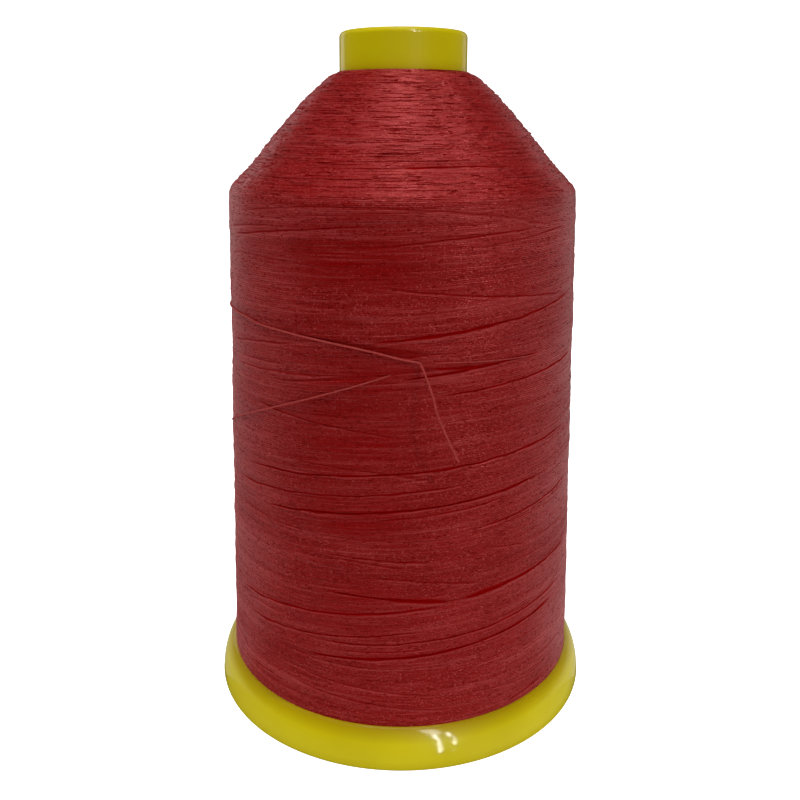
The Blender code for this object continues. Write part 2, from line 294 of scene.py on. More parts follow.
class WindingSettings(bpy.types.PropertyGroup):
    """Sizes and colours of the wound thread."""

    turn_pitch: length_setting("Turn pitch", "Height that one turn of thread takes up the side", 0.35 * MM)
    valley: length_setting("Valley", "How deep the valley between two turns lies", 0.075 * MM)
    unevenness: length_setting("Unevenness", "How far single turns stand off their neighbours", 0.045 * MM)
    gap_depth: length_setting("Gap depth", "How deep a short gap between two turns is", 0.26 * MM)
    columns: IntProperty(
        name="Columns", description="Points around the winding", default=284, min=48, max=400,
    )
    seed: IntProperty(name="Seed", description="Seed of the turns' unevenness", default=7, min=0, max=999)
    colour: colour_setting("Thread", "Colour of the turns in full light", (0.335, 0.0042, 0.0042))
    # Painted shade: the grooves, hollows, gaps and darker stretches take this darker, purer red.
    deep_colour: colour_setting("Grooves", "Colour deep in the grooves", (0.280, 0.0005, 0.0005))
    gloss_colour: colour_setting("Gloss", "Colour that the fibres throw back straight on", (1.0, 0.20, 0.19))
    fuzz_colour: colour_setting("Fuzz", "Colour of fibres where the surface turns away", (1.0, 0.20, 0.20))


class SpoolSettings(bpy.types.PropertyGroup):
    """Sizes and colour of the moulded spool. Its overall size is the frame's."""

    flange_radius: length_setting("Flange radius", "Radius of the foot flange", SPOOL_HIGH.x)
    height: length_setting("Height", "Height of the spool", SPOOL_HIGH.z)
    ledge_height: length_setting("Ledge height", "Height of the flange's top, under the winding", 8.4 * MM)
    ledge_radius: length_setting("Ledge radius", "Where the ledge turns into the rounded rim", 41.0 * MM)
    nose_radius: length_setting("Nose radius", "Outside radius of the nose", 13.25 * MM)
    bore_radius: length_setting("Bore radius", "Inside radius of the tube at the nose", 11.0 * MM)
    facets: IntProperty(name="Facets", description="Facets around the spool", default=256, min=32, max=512)
    colour: colour_setting("Plastic", "Colour of the moulded plastic", (0.730, 0.605, 0.0010))


class LooseThreadSettings(bpy.types.PropertyGroup):
    """Size and colour of the thread that lies loose on the winding."""

    diameter: length_setting("Diameter", "Diameter of the thread", 0.40 * MM)
    twist_length: length_setting("Twist length", "Length in which its plies turn once", 1.5 * MM)
    # Painted light: a lighter, paler copy of the wound thread's colour, as if the loose thread stood in more
    # light.
    colour: colour_setting("Loose thread", "Colour of a turn that stands in the light", (0.500, 0.066, 0.060))


class StudioSettings(bpy.types.PropertyGroup):
    """Camera, floor and lights."""

    camera_distance: length_setting("Camera distance", "From the winding's axis to the camera", 193.4 * MM)
    camera_height: length_setting("Camera height", "Height of the camera above the floor", 128.9 * MM)
    camera_aside: length_setting("Camera aside", "How far left of the axis the camera stands", 0.38 * MM)
    camera_pitch: angle_setting("Camera pitch", "How far the camera looks down", 0.3087)
    camera_roll: angle_setting("Camera roll", "How far the camera leans to its left", 0.0044)
    lens: FloatProperty(
        name="Lens", description="Focal length on a 36 mm sensor, in millimetres",
        default=39.04, min=10.0, max=300.0,
    )
    light_power: FloatProperty(name="Light", description="Share of the lights' power", default=1.0, min=0.0)
    fill: FloatProperty(name="Fill", description="Share of the unseen papers' glow", default=1.0, min=0.0)
    floor_colour: colour_setting("Floor", "Colour of the plain floor", (0.86, 0.86, 0.86))


# ---- Shapes as arrays ----

def place_on_turn(radius, angle, height):
    """Points of a turned surface: radius times the sine and minus the cosine of the angle, and the height."""
    return np.stack((radius * np.sin(angle), -radius * np.cos(angle), height), axis=-1)


def length_walked(points):
    """The distance walked along a line of points, at each of them."""
    return np.concatenate(([0.0], np.cumsum(np.linalg.norm(np.diff(points, axis=0), axis=1))))


def rounded_section(points, rounding, step):
    """A polyline resampled evenly and averaged over the length `rounding`, which rounds its corners.

    Returns the distance walked and the two coordinates at each sample.
    """
    walked = length_walked(points)
    distance = np.linspace(0.0, walked[-1], int(walked[-1] / step) + 1)
    shifts = np.linspace(-1.0, 1.0, 9)[:, None]
    reach = np.minimum(np.minimum(distance, walked[-1] - distance), 0.5 * rounding)
    sampled = [np.interp(distance + shifts * reach, walked, points[:, axis]).mean(axis=0) for axis in (0, 1)]
    return distance, sampled[0], sampled[1]


def winding_section():
    """The winding's section with its corners rounded: distance up the side, heights and radii."""
    return rounded_section(np.array(WINDING_SECTION) * MM, SECTION_ROUNDING, SECTION_STEP)


def smooth_route(knots, count, samples=40):
    """Evenly spaced points on a Catmull-Rom curve: each stretch is the cubic through its two knots whose
    slopes are half the difference of the knots on either side."""
    padded = np.vstack((2 * knots[0] - knots[1], knots, 2 * knots[-1] - knots[-2]))
    before, start, end, after = (padded[shift:shift + len(knots) - 1, None, :] for shift in range(4))
    share = np.linspace(0.0, 1.0, samples, endpoint=False)[None, :, None]
    curve = 0.5 * (
        2 * start
        + (end - before) * share
        + (2 * before - 5 * start + 4 * end - after) * share**2
        + (3 * start - before - 3 * end + after) * share**3
    )
    curve = np.vstack((curve.reshape(-1, knots.shape[1]), knots[-1]))
    walked = length_walked(curve)
    even = np.linspace(0.0, walked[-1], count)
    return np.column_stack([np.interp(even, walked, column) for column in curve.T])


def thread_tube(route, diameter, twist_length, sides, plies=3, lobe=0.04, end_share=0.55):
    """A twisted thread along a route: at each point a ring whose radius is the thread's, times one plus
    `lobe` times the cosine of `plies` times the angle that has turned with the length. The rings at its
    ends are smaller. Returns the points, and a tone that is 1 on the crest of a ply and 0 between two."""
    ahead = np.gradient(route, axis=0)
    ahead /= np.linalg.norm(ahead, axis=1)[:, None]
    across = np.cross(ahead, route * np.array((1.0, 1.0, 0.0)))
    across /= np.linalg.norm(across, axis=1)[:, None]
    upward = np.cross(across, ahead)
    angle = np.linspace(0.0, 2 * np.pi, sides, endpoint=False)
    turned = 2 * np.pi * length_walked(route) / twist_length
    wave = np.cos(plies * (angle - turned[:, None]))
    ring = 0.5 * diameter * (1.0 - lobe + lobe * wave)
    ring[[0, -1]] *= end_share
    outward = np.cos(angle)[:, None] * across[:, None, :] + np.sin(angle)[:, None] * upward[:, None, :]
    return route[:, None, :] + ring[..., None] * outward, 0.5 + 0.5 * wave


def around_and_along(rows, columns, close_rows):
    """Corner numbers of the quads of a grid that closes on itself along its columns."""
    last = rows if close_rows else rows - 1
    row = np.arange(last)[:, None]
    column = np.arange(columns)
    above = (row + 1) % rows
    beside = (column + 1) % columns
    corners = (row * columns + column, row * columns + beside, above * columns + beside,
               above * columns + column)
    return np.stack(corners, axis=-1).reshape(-1, 4)


def smooth_around(field, spread_deg):
    """Each row blurred around the turn by a bell of the given spread, with unit variance kept."""
    columns = field.shape[1]
    wave = np.fft.rfftfreq(columns, d=1.0 / columns)
    kept = np.exp(-0.5 * (wave * math.radians(spread_deg)) ** 2)
    blurred = np.fft.irfft(np.fft.rfft(field, axis=1) * kept, n=columns, axis=1)
    return blurred / max(blurred.std(), LEAST_SPREAD)


def smooth_up(field, rows):
    """Each column averaged over a few rows, with unit variance kept."""
    kernel = np.hanning(2 * rows + 1)
    kernel /= kernel.sum()
    padded = np.pad(field, ((rows, rows), (0, 0)), mode="reflect")
    summed = sum(weight * padded[shift:shift + len(field)] for shift, weight in enumerate(kernel))
    return summed / max(summed.std(), LEAST_SPREAD)


def bell(place):
    """One over e to the power of the place's square: 1 in the middle, falling smoothly to 0."""
    return np.exp(-np.square(place))


def ease(value):
    """Three times the square less twice the cube, from 0 to 1."""
    held = np.clip(value, 0.0, 1.0)
    return held * held * (3.0 - 2.0 * held)


# ---- From arrays to objects ----

def add_piece(name, points, quads, material, caps=()):
    """A mesh piece from point and quad arrays, with any end caps, shaded smooth."""
    mesh = bpy.data.meshes.new(name)
    sizes = np.concatenate((np.full(len(quads), 4), [len(cap) for cap in caps])).astype(np.int32)
    corners = np.concatenate([quads.ravel(), *[np.asarray(cap) for cap in caps]]).astype(np.int32)
    starts = np.concatenate(([0], np.cumsum(sizes)[:-1])).astype(np.int32)
    mesh.vertices.add(len(points))
    mesh.vertices.foreach_set("co", points.astype(np.float32).ravel())
    mesh.loops.add(len(corners))
    mesh.loops.foreach_set("vertex_index", corners)
    mesh.polygons.add(len(sizes))
    mesh.polygons.foreach_set("loop_start", starts)
    mesh.update(calc_edges=True)
    mesh.validate()
    mesh.shade_smooth()
    mesh.materials.append(material)
    piece = bpy.data.objects.new(name, mesh)
    bpy.context.scene.collection.objects.link(piece)
    return piece


def add_point_values(piece, name, values):
    """One number a point, for the material to read."""
    attribute = piece.data.attributes.new(name, "FLOAT", "POINT")
    attribute.data.foreach_set("value", values.astype(np.float32).ravel())


def add_uv(piece, places):
    """The piece's own UV map, one place a face corner."""
    layer = piece.data.uv_layers.new(name="along_thread")
    layer.data.foreach_set("uv", places.astype(np.float32).ravel())


def lit_group(name):
    """The collection of the pieces that one kind of light falls on."""
    return bpy.data.collections.get(name) or bpy.data.collections.new(name)


def sharpen_rings(piece, rings):
    """Mark the edges that lie wholly on one of the given sets of points as sharp."""
    ends = np.empty(2 * len(piece.data.edges), dtype=np.int32)
    piece.data.edges.foreach_get("vertices", ends)
    ends = ends.reshape(-1, 2)
    sharp = np.zeros(len(ends), dtype=bool)
    for ring in rings:
        sharp |= np.isin(ends, ring).all(axis=1)
    piece.data.edges.foreach_set("use_edge_sharp", sharp)


# ---- Materials ----

class Finish:
    """A material: its Principled shader and the nodes that feed it.

    Each call adds a node and gives its result. A value is a result of another node, a number or a colour.
    """

    def __init__(self, name):
        self.material = bpy.data.materials.new(name)
        self.material.use_nodes = True
        self.tree = self.material.node_tree

    def put(self, socket, value):
        """Link a socket to another node's result, or set it."""
        if isinstance(value, bpy.types.NodeSocket):
            self.tree.links.new(value, socket)
        else:
            socket.default_value = (*value, 1.0) if socket.type == "RGBA" else value

    def feed(self, node, values):
        """Put values on the sockets named, with underscores for spaces, or else on the node itself."""
        for name, value in values.items():
            socket = node.inputs.get(name.replace("_", " "))
            if socket is None:
                setattr(node, name, value)
            else:
                self.put(socket, value)

    def shade(self, **values):
        """Feed the shader."""
        self.feed(self.tree.nodes["Principled BSDF"], values)

    def add(self, kind, result, **values):
        """A node of any kind."""
        node = self.tree.nodes.new("ShaderNode" + kind)
        self.feed(node, values)
        return node.outputs[result]

    def math(self, operation, *values):
        """A Math node."""
        node = self.tree.nodes.new("ShaderNodeMath")
        node.operation = operation
        for socket, value in zip(node.inputs, values):
            self.put(socket, value)
        return node.outputs["Value"]

    def mix(self, factor, first, second, blend="MIX"):
        """A Mix node on colours."""
        node = self.tree.nodes.new("ShaderNodeMix")
        node.data_type = "RGBA"
        node.blend_type = blend
        for socket, value in ((node.inputs[0], factor), (node.inputs[6], first), (node.inputs[7], second)):
            self.put(socket, value)
        return node.outputs[2]

    def ramp(self, factor, *stops):
        """A colour ramp with stops of position and colour."""
        node = self.tree.nodes.new("ShaderNodeValToRGB")
        elements = node.color_ramp.elements
        while len(elements) < len(stops):
            elements.new(0.5)
        for element, (position, colour) in zip(elements, stops):
            element.position = position
            element.color = (*colour, 1.0)
        self.put(node.inputs["Fac"], factor)
        return node.outputs["Color"]

    def step(self, value, low, high):
        """A number mapped smoothly from 0 at `low` to 1 at `high`."""
        return self.add(
            "MapRange", "Result", interpolation_type="SMOOTHSTEP", Value=value, From_Min=low, From_Max=high,
        )

    def noise(self, place, scale, detail, roughness=0.5):
        """Noise in space."""
        return self.add("TexNoise", "Fac", Vector=place, Scale=scale, Detail=detail, Roughness=roughness)

    def flat_noise(self, across, up, detail):
        """Two-dimensional noise of two numbers."""
        place = self.add("CombineXYZ", "Vector", X=across, Y=up)
        return self.add("TexNoise", "Fac", noise_dimensions="2D", Vector=place, Scale=1.0, Detail=detail)

    def bump(self, height, strength, distance):
        """The normal that a height bends."""
        return self.add("Bump", "Normal", Height=height, Strength=strength, Distance=distance)

    def dashes(self, along, turns, period, length, cover, half_width, seed):
        """Short dark dashes between rows of turns: painted shade in the gaps.

        The turns are counted in rows of `period`. Noise along each row, a new one in every row, passes
        `cover` where there is a dash, and the dash fades out at `half_width` of a row from the row's middle.
        """
        row_step, softness = 7.31, 0.045
        rows = self.math("DIVIDE", turns, period)
        row = self.math("FLOOR", rows)
        off_middle = self.math("ABSOLUTE", self.math("SUBTRACT", self.math("SUBTRACT", rows, row), 0.5))
        start = self.math("MULTIPLY_ADD", row, row_step, seed)
        noise = self.flat_noise(self.math("DIVIDE", along, length), start, 1.0)
        on = self.step(noise, cover, self.math("ADD", cover, softness))
        off = self.step(off_middle, 0.6 * half_width, 1.1 * half_width)
        return self.math("MULTIPLY", on, self.math("SUBTRACT", 1.0, off))


def tinted(colour, red, rest):
    """A colour with its red times one number and its green and blue times another."""
    return (red * colour[0], rest * colour[1], rest * colour[2])


def wound_thread_material(settings):
    """Bonded thread, turn on turn: tone by turn, painted glints and painted highlights on the grooves' lips,
    and painted shade, darker and purer red with less gloss, in the dark dashes between turns, the grooves,
    hollows, gaps and darker stretches.

    The turns sway a little, so that the dashes and the plies don't lie in straight rows. On the cone the
    dashes are longer and there are more of them.
    """
    look = Finish("wound_thread")
    # groove: the share of painted shade; tone: each turn's random tone with the painted lip highlights.
    names = ("groove", "tone", "on_cone")
    groove, tone, on_cone = (look.add("Attribute", "Fac", attribute_name=name) for name in names)
    place = look.add("TexCoord", "Object")
    uv = look.add("UVMap", "UV", uv_map="along_thread")
    along, straight_turns = (look.add("SeparateXYZ", part, Vector=uv) for part in "XY")
    sway_mm, sway_turns, sway_reach = 3.5, 5.0, 2.4
    sway = look.flat_noise(
        look.math("DIVIDE", along, sway_mm), look.math("DIVIDE", straight_turns, sway_turns), 2.0,
    )
    turns = look.math("ADD", straight_turns, look.math("MULTIPLY_ADD", sway, sway_reach, -0.5 * sway_reach))

    mottle = look.noise(place, 95.0, 4.0, 0.6)
    mottled_cover = look.math("MULTIPLY_ADD", mottle, 0.30, -0.15)
    lengthened = look.math("MULTIPLY_ADD", look.math("GREATER_THAN", on_cone, 0.5), -0.35, 1.0)
    run = look.math("MULTIPLY", along, lengthened)
    dash = 0.0
    for period, length, cover, on_cone_share, mottle_share, half_width, seed, darkness in DASHES:
        passed = look.math("MULTIPLY_ADD", mottled_cover, mottle_share, cover)
        passed = look.math("MULTIPLY_ADD", on_cone, on_cone_share, passed)
        row = look.dashes(run, turns, period, length, passed, half_width, seed)
        dash = look.math("MAXIMUM", dash, look.math("MULTIPLY", row, darkness))

    thread = tuple(settings.colour)
    # The bright end of the tone also paints the highlight on the grooves' lips.
    dark, bright = tinted(thread, 0.82, 0.1), tinted(thread, 1.35, 10.0)
    by_turn = look.ramp(tone, (0.0, dark), (0.5, thread), (1.0, bright))
    patches = look.ramp(mottle, (0.3, (0.90, 0.88, 0.88)), (0.7, WHITE))
    mottled = look.mix(1.0, by_turn, patches, "MULTIPLY")
    plies_a_mm, plies_a_turn, plies_a_sway = 2.0, 1.37, 9.0
    ply = look.math("MULTIPLY_ADD", straight_turns, plies_a_turn, look.math("MULTIPLY", sway, plies_a_sway))
    ply = look.math("MULTIPLY_ADD", along, plies_a_mm, ply)
    plies = look.math("SINE", look.math("MULTIPLY", ply, 2 * math.pi))
    # Painted highlights: glints where the grain and the plies peak, painted in a lighter, paler red.
    grain = look.noise(place, 2600.0, 2.0, 0.6)
    glint = look.step(look.math("MULTIPLY_ADD", plies, 0.06, grain), 0.58, 0.68)
    glinted = look.mix(glint, mottled, tinted(thread, 1.55, 16.0))
    # Painted shade: the grooves, hollows, gaps and darker stretches take the deep colour.
    deepened = look.mix(groove, glinted, settings.deep_colour)
    raised = look.math("MULTIPLY_ADD", plies, 0.12, look.math("MULTIPLY", grain, 0.35))
    depth = look.math("MAXIMUM", groove, dash)
    look.shade(
        # Painted shade in the dashes between turns.
        Base_Color=look.mix(dash, deepened, tinted(settings.deep_colour, 0.68, 0.68)),
        Normal=look.bump(look.math("MULTIPLY_ADD", dash, -0.5, raised), 0.6, 0.10 * MM),
        Roughness=look.math("MULTIPLY_ADD", depth, 0.45, 0.33),
        Specular_IOR_Level=look.math("SUBTRACT", 1.0, depth), Specular_Tint=settings.gloss_colour,
        Sheen_Weight=0.19, Sheen_Roughness=0.45, Sheen_Tint=settings.fuzz_colour,
    )
    return look.material


def loose_thread_material(settings, gloss_colour):
    """The same thread, its colour painted lighter as if it stood in more light: painted shade between the
    plies in the tone, finer fibres in the bump.
    """
    look = Finish("loose_thread")
    thread = tuple(settings.colour)
    ply = look.add("Attribute", "Fac", attribute_name="ply")
    # Painted shade between the plies.
    by_ply = look.ramp(ply, (0.0, tinted(thread, 0.75, 0.75)), (0.6, thread))
    fibres = look.noise(look.add("TexCoord", "Object"), 1900.0, 2.0, 0.6)
    worn = look.ramp(fibres, (0.35, (0.78, 0.74, 0.74)), (0.65, WHITE))
    look.shade(
        Base_Color=look.mix(1.0, by_ply, worn, "MULTIPLY"), Normal=look.bump(fibres, 0.4, 0.02 * MM),
        Roughness=0.55, Specular_IOR_Level=0.12, Specular_Tint=gloss_colour,
    )
    return look.material


def moulded_plastic_material(settings):
    """Yellow moulded plastic: a smooth gloss, faint flow marks and handling scuffs, a little light inside,
    and painted shade and painted red bounce light where it lies against the winding.
    """
    look = Finish("moulded_plastic")
    place = look.add("TexCoord", "Object")
    plastic = tuple(settings.colour)
    deeper = (0.90 * plastic[0], 0.88 * plastic[1], 0.7 * plastic[2])
    flowed = look.ramp(look.noise(place, 38.0, 3.0, 0.55), (0.35, deeper), (0.65, plastic))
    share = look.math("DIVIDE", look.add("SeparateXYZ", "Z", Vector=place), SPOOL_HIGH.z)
    scuffs = look.noise(place, 420.0, 5.0, 0.7)
    look.shade(
        # Painted shade and painted red bounce light beside the winding, by height.
        Base_Color=look.mix(1.0, flowed, look.ramp(share, *PAINTED_SHADE_AND_RED_BOUNCE), "MULTIPLY"),
        Normal=look.bump(scuffs, 0.05, 0.1 * MM),
        Roughness=look.add(
            "MapRange", "Result", Value=scuffs, From_Min=0.3, From_Max=0.8, To_Min=0.36, To_Max=0.48,
        ),
        IOR=1.46, Specular_IOR_Level=0.10, Coat_Weight=0.50, Coat_Roughness=0.09, Coat_IOR=1.46,
        Subsurface_Weight=0.12, Subsurface_Radius=(1.0, 0.7, 0.1), Subsurface_Scale=1.5 * MM,
    )
    return look.material


# ---- The winding ----

def slant(angle, distance):
    """How far the turns have climbed at an angle: between the table's heights, rise times the sine of the
    angle from the slant's middle, shared out evenly from one height to the next."""
    table = np.array(SLANTS)
    levels = table[:, 0] * MM
    climbs = table[:, 2, None] * MM * np.sin(angle - np.radians(table[:, 1, None]))
    below = np.clip(np.searchsorted(levels, distance, side="right") - 1, 0, len(levels) - 2)
    share = ease((distance - levels[below]) / (levels[below + 1] - levels[below]))[:, None]
    return (1.0 - share) * climbs[below] + share * climbs[below + 1]


def line_height(row, degrees):
    """A quadratic through a table row's start, middle and end: height in mm at an angle in degrees."""
    x0, y0, x1, y1, x2, y2 = row[:6]
    first = y0 * (degrees - x1) * (degrees - x2) / ((x0 - x1) * (x0 - x2))
    second = y1 * (degrees - x0) * (degrees - x2) / ((x1 - x0) * (x1 - x2))
    third = y2 * (degrees - x0) * (degrees - x1) / ((x2 - x0) * (x2 - x1))
    return first + second + third


def around_the_back(row):
    """A front line's table row turned to the hidden side: its angles are stretched and counted backwards."""
    turned = list(row)
    turned[0], turned[2], turned[4] = (180.0 - BACK_STRETCH * row[column] for column in (4, 2, 0))
    turned[1], turned[5] = row[5], row[1]
    turned[3] = row[3] + BACK_RISE
    return tuple(turned)


def line_relief(rows, degrees, distance, random):
    """The grooves on the grid: their depth in metres, the share of painted shade at each point, and the
    painted highlight on their lips.

    Across a groove the depth is a bell, and a lower bell stands up below it as the lip of the next band.
    The second value, the painted shade, is a wider bell, with a faint and wider bell of painted shade above
    it, and the third, the painted highlight, is the lip's bell.
    Both run from 0 to 1. Along a groove the bells' width goes evenly from start to end, but no narrower
    than the narrowest, the depth eases in and out over a sixth of its length, and the line wanders by a
    little seeded noise.
    """
    depth, inside, lip_highlights = (np.zeros_like(distance) for _ in range(3))
    shape = (len(rows), len(degrees))
    wander = smooth_around(random.standard_normal(shape), 1.6) * WANDER
    pulse = 1.0 + 0.22 * smooth_around(random.standard_normal(shape), 2.2)
    for row, shift, beat in zip(rows, wander, pulse):
        start, end = row[0], row[4]
        turn = (degrees - start) % 360.0
        columns = np.nonzero(turn < end - start)[0]
        along = turn[columns] / (end - start)
        centre = line_height(row, start + turn[columns]) * MM + shift[columns]
        width = GROOVE_WIDTH_SHARE * (row[7] + (row[8] - row[7]) * along) * MM
        width = np.maximum(width * np.clip(beat[columns], 0.5, 1.6), NARROWEST_GROOVE)
        fade = ease(along * 6.0) * ease((1.0 - along) * 6.0)
        above = distance[:, columns] - centre
        across = above / width
        lip = fade * bell((across + LIP_BELOW) / LIP_SPREAD)
        deepest = GROOVE_DEPTH_SHARE * row[6] * MM * fade
        depth[:, columns] = np.maximum(depth[:, columns], deepest * bell(across))
        depth[:, columns] -= LIP_SHARE * deepest * lip * (depth[:, columns] < LIP_OFF)
        # Painted shade in the groove and, fainter, above it.
        dark = ease(2.6 * row[6] * fade * bell(across / SHADE_SPREAD))
        shade_above = SHADE_ABOVE_SHARE * row[6] * fade * bell((above - SHADE_ABOVE_HEIGHT) / SHADE_ABOVE_SPREAD)
        inside[:, columns] = np.maximum(inside[:, columns], np.maximum(dark, shade_above))
        # Painted highlight: the lip's bell also brightens the tone.
        lip_highlights[:, columns] = np.maximum(lip_highlights[:, columns], lip * ease(2.2 * row[6]))
    return depth, inside, lip_highlights


def painted_shade_stretches(degrees, distance):
    """How far each point lies in one of the table's stretches of painted shade: the share times a bell of the
    fourth powers of the distances from its slanting middle line."""
    share = np.zeros_like(distance)
    for middle_deg, middle_mm, half_width_deg, half_height_mm, rise_mm, full in PAINTED_SHADE_STRETCHES:
        along = ((degrees - middle_deg + 180.0) % 360.0 - 180.0) / half_width_deg
        up = (distance / MM - middle_mm - rise_mm * np.clip(along, -2.0, 2.0)) / half_height_mm
        share = np.maximum(share, full * np.exp(-along**4 - up**4))
    return share


def wedge_relief(wedges, degrees, distance):
    """Depth of the wedge-shaped hollows, in metres, and their painted shade: three quarters of the share of
    the full depth at each point.

    Between a wedge's two edges the depth rises from each edge over a fixed run, and where the edges are
    closer than two runs it stays shallower.
    """
    share = np.zeros_like(distance)
    for table in wedges:
        edges = np.array(table)
        columns = np.nonzero((degrees > edges[0, 0]) & (degrees < edges[-1, 0]))[0]
        lower = np.interp(degrees[columns], edges[:, 0], edges[:, 1]) * MM
        upper = np.interp(degrees[columns], edges[:, 0], edges[:, 2]) * MM
        within = np.minimum(distance[:, columns] - lower, upper - distance[:, columns])
        share[:, columns] = np.maximum(share[:, columns], ease(within / WEDGE_RUN))
    return WEDGE_DEPTH * share, 0.75 * share


def turn_relief(turns, angle, distance_of_turn, settings):
    """Height of each turn's crest, the gaps beside it and its tone, as arrays of turns by angles.

    A turn stands above or below its neighbours by slow seeded noise around the winding. Gaps open where
    a second noise passes a threshold, which is low on the cone, where they are short and many. Each pair
    of numbers with `on_cone` is the value on the body and what the cone adds.
    """
    random = np.random.default_rng(settings.seed)

    def noise(spread_deg):
        return smooth_around(random.standard_normal((turns, len(angle))), spread_deg)

    on_cone = ease((distance_of_turn - SHOULDER_DISTANCE) / SHOULDER_RUN)[:, None]
    single = noise(6.0)
    group = smooth_up(noise(26.0), 4)
    swell = smooth_up(noise(40.0), 24)
    height = (0.45 + 0.9 * on_cone) * single + 0.8 * group + (1.1 - 0.7 * on_cone) * swell
    short = noise(3.2)
    long = noise(12.0)
    short_gap = ease((short - (2.3 - 1.3 * on_cone)) / 0.5)
    long_gap = ease((long - (2.2 - 0.4 * on_cone)) / 0.5)
    gap = np.maximum((0.15 + 0.35 * on_cone) * short_gap, (0.2 + 0.2 * on_cone) * long_gap)
    tone = 0.5 + 0.15 * noise(5.0) + 0.08 * group
    return settings.unevenness * height, gap, np.clip(tone, 0.0, 1.0)


def winding_grid(settings):
    """The winding's outside as a grid of points, four rows a turn, with its groove values, the share of
    painted shade, and its tone values, which carry the painted highlights on the grooves' lips.

    A point's place on the section is its row's distance up the side plus the turns' slant at its angle.
    It is then moved along the section's normal by the turn's height, less the valley between two turns,
    the gaps, the grooves and the hollows.
    """
    walked, heights, radii = winding_section()
    turns = int(round(walked[-1] / settings.turn_pitch))
    rows = ROWS_A_TURN * turns + 1
    angle = np.linspace(-np.pi, np.pi, settings.columns, endpoint=False)
    row_distance = np.linspace(0.0, walked[-1], rows)
    distance = np.clip(row_distance[:, None] + slant(angle, row_distance), 0.0, walked[-1])
    distance[0], distance[-1] = 0.0, walked[-1]

    crest, gap, tone = turn_relief(turns, angle, row_distance[2::ROWS_A_TURN], settings)
    crest = crest - settings.gap_depth * gap
    below = np.vstack((crest[:1], crest))
    over = np.vstack((crest, crest[-1:]))
    flank = crest - FLANK_SHARE * settings.valley
    relief = np.empty((rows, len(angle)))
    relief[0::ROWS_A_TURN] = np.minimum(below, over) - settings.valley
    relief[1::ROWS_A_TURN], relief[2::ROWS_A_TURN], relief[3::ROWS_A_TURN] = flank, crest, flank
    turn_of_row = np.minimum(np.arange(rows) // ROWS_A_TURN, turns - 1)

    degrees = np.degrees(angle)
    random = np.random.default_rng(settings.seed + 1)
    back_grooves = [around_the_back(row) for row in GROOVES]
    grooves, groove, lip_highlights = line_relief((*GROOVES, *back_grooves), degrees, distance, random)
    hollows, hollow = wedge_relief(WEDGES, degrees, distance)
    relief = relief - np.maximum(grooves, hollows)
    ends = np.minimum(row_distance, walked[-1] - row_distance)
    relief = relief * ease(ends / ENDS_RUN)[:, None]

    radius = np.interp(distance, walked, radii)
    height = np.interp(distance, walked, heights)
    normal_radius = np.interp(distance, walked, np.gradient(heights, walked))
    normal_height = -np.interp(distance, walked, np.gradient(radii, walked))
    points = place_on_turn(radius + relief * normal_radius, angle, height + relief * normal_height)
    # Painted shade in the darker stretches, stronger where a turn's tone is low.
    low = painted_shade_stretches(degrees, distance) * (1.5 - tone[turn_of_row])
    # Painted shade: the grooves, the wedge hollows, the darker stretches and the gaps between turns.
    groove = np.clip(np.maximum(np.maximum(groove, hollow), low) + 0.6 * gap[turn_of_row], 0.0, 1.0)
    # The tone is each turn's random tone with the painted highlight on the grooves' lips added.
    return points, groove, np.clip(tone[turn_of_row] + 0.70 * lip_highlights, 0.0, 1.0)


def add_winding_band(name, first_row, points, groove, tone, bore, material):
    """One band of the winding as a closed ring: its rows outside and a plain wall on the bore's radius.

    Its UV map counts millimetres along the turn from the front, and turns up from the foot.
    """
    rows, columns = points.shape[:2]
    angle = np.linspace(-np.pi, np.pi, columns, endpoint=False)
    inner_low = place_on_turn(np.full(columns, bore), angle, points[0, :, 2])
    inner_high = place_on_turn(np.full(columns, bore), angle, points[-1, :, 2])
    shell = np.concatenate((inner_low[None], points, inner_high[None]))
    quads = around_and_along(rows + 2, columns, True)
    piece = add_piece(name, shell.reshape(-1, 3), quads, material)
    inside = np.ones((1, columns))
    add_point_values(piece, "groove", np.concatenate((inside, groove, inside)))
    add_point_values(piece, "tone", np.concatenate((0.5 * inside, tone, 0.5 * inside)))
    add_point_values(piece, "on_cone", ease((shell[..., 2] - CONE_FOOT_HEIGHT) / (2.5 * MM)))
    along = np.linspace(-np.pi, np.pi, columns + 1)
    radius = np.hypot(shell[..., 0], shell[..., 1]).mean(axis=1) / MM
    radius = np.append(radius, radius[-1])[:, None]
    turn = (first_row - 1 + np.arange(rows + 3))[:, None] / ROWS_A_TURN
    corner = np.stack((along * radius, turn + 0.0 * along), axis=-1)
    add_uv(piece, np.stack((corner[:-1, :-1], corner[:-1, 1:], corner[1:, 1:], corner[1:, :-1]), axis=2))
    ring = np.arange(columns)
    sharpen_rings(piece, [ring + line * columns for line in (0, 1, rows, rows + 1)])
    return piece


WINDING_BANDS = ("winding_foot", "winding_low", "winding_middle", "winding_high", "winding_cone")


class THREADCONE_OT_winding(bpy.types.Operator):
    """Wind the thread: a stack of closed bands, each under 200,000 triangles"""

    bl_idname = "threadcone.winding"
    bl_label = "Winding"

    def execute(self, context):
        settings = context.scene.cone_winding
        points, groove, tone = winding_grid(settings)
        material = wound_thread_material(settings)
        bore = context.scene.cone_spool.nose_radius + BORE_CLEARANCE
        turns = (len(points) - 1) // ROWS_A_TURN
        cuts = np.linspace(0, turns, len(WINDING_BANDS) + 1).astype(int) * ROWS_A_TURN
        for name, low, high in zip(WINDING_BANDS, cuts[:-1], cuts[1:]):
            rows = slice(low, high + 1)
            wall = min(bore, np.hypot(*points[high, 0, :2]) - THINNEST_WALL)
            band = add_winding_band(name, low, points[rows], groove[rows], tone[rows], wall, material)
            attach(band, "root")
            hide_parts("thread_package")
            lit_group("threads").objects.link(band)
        return {"FINISHED"}


# ---- Loose thread ----

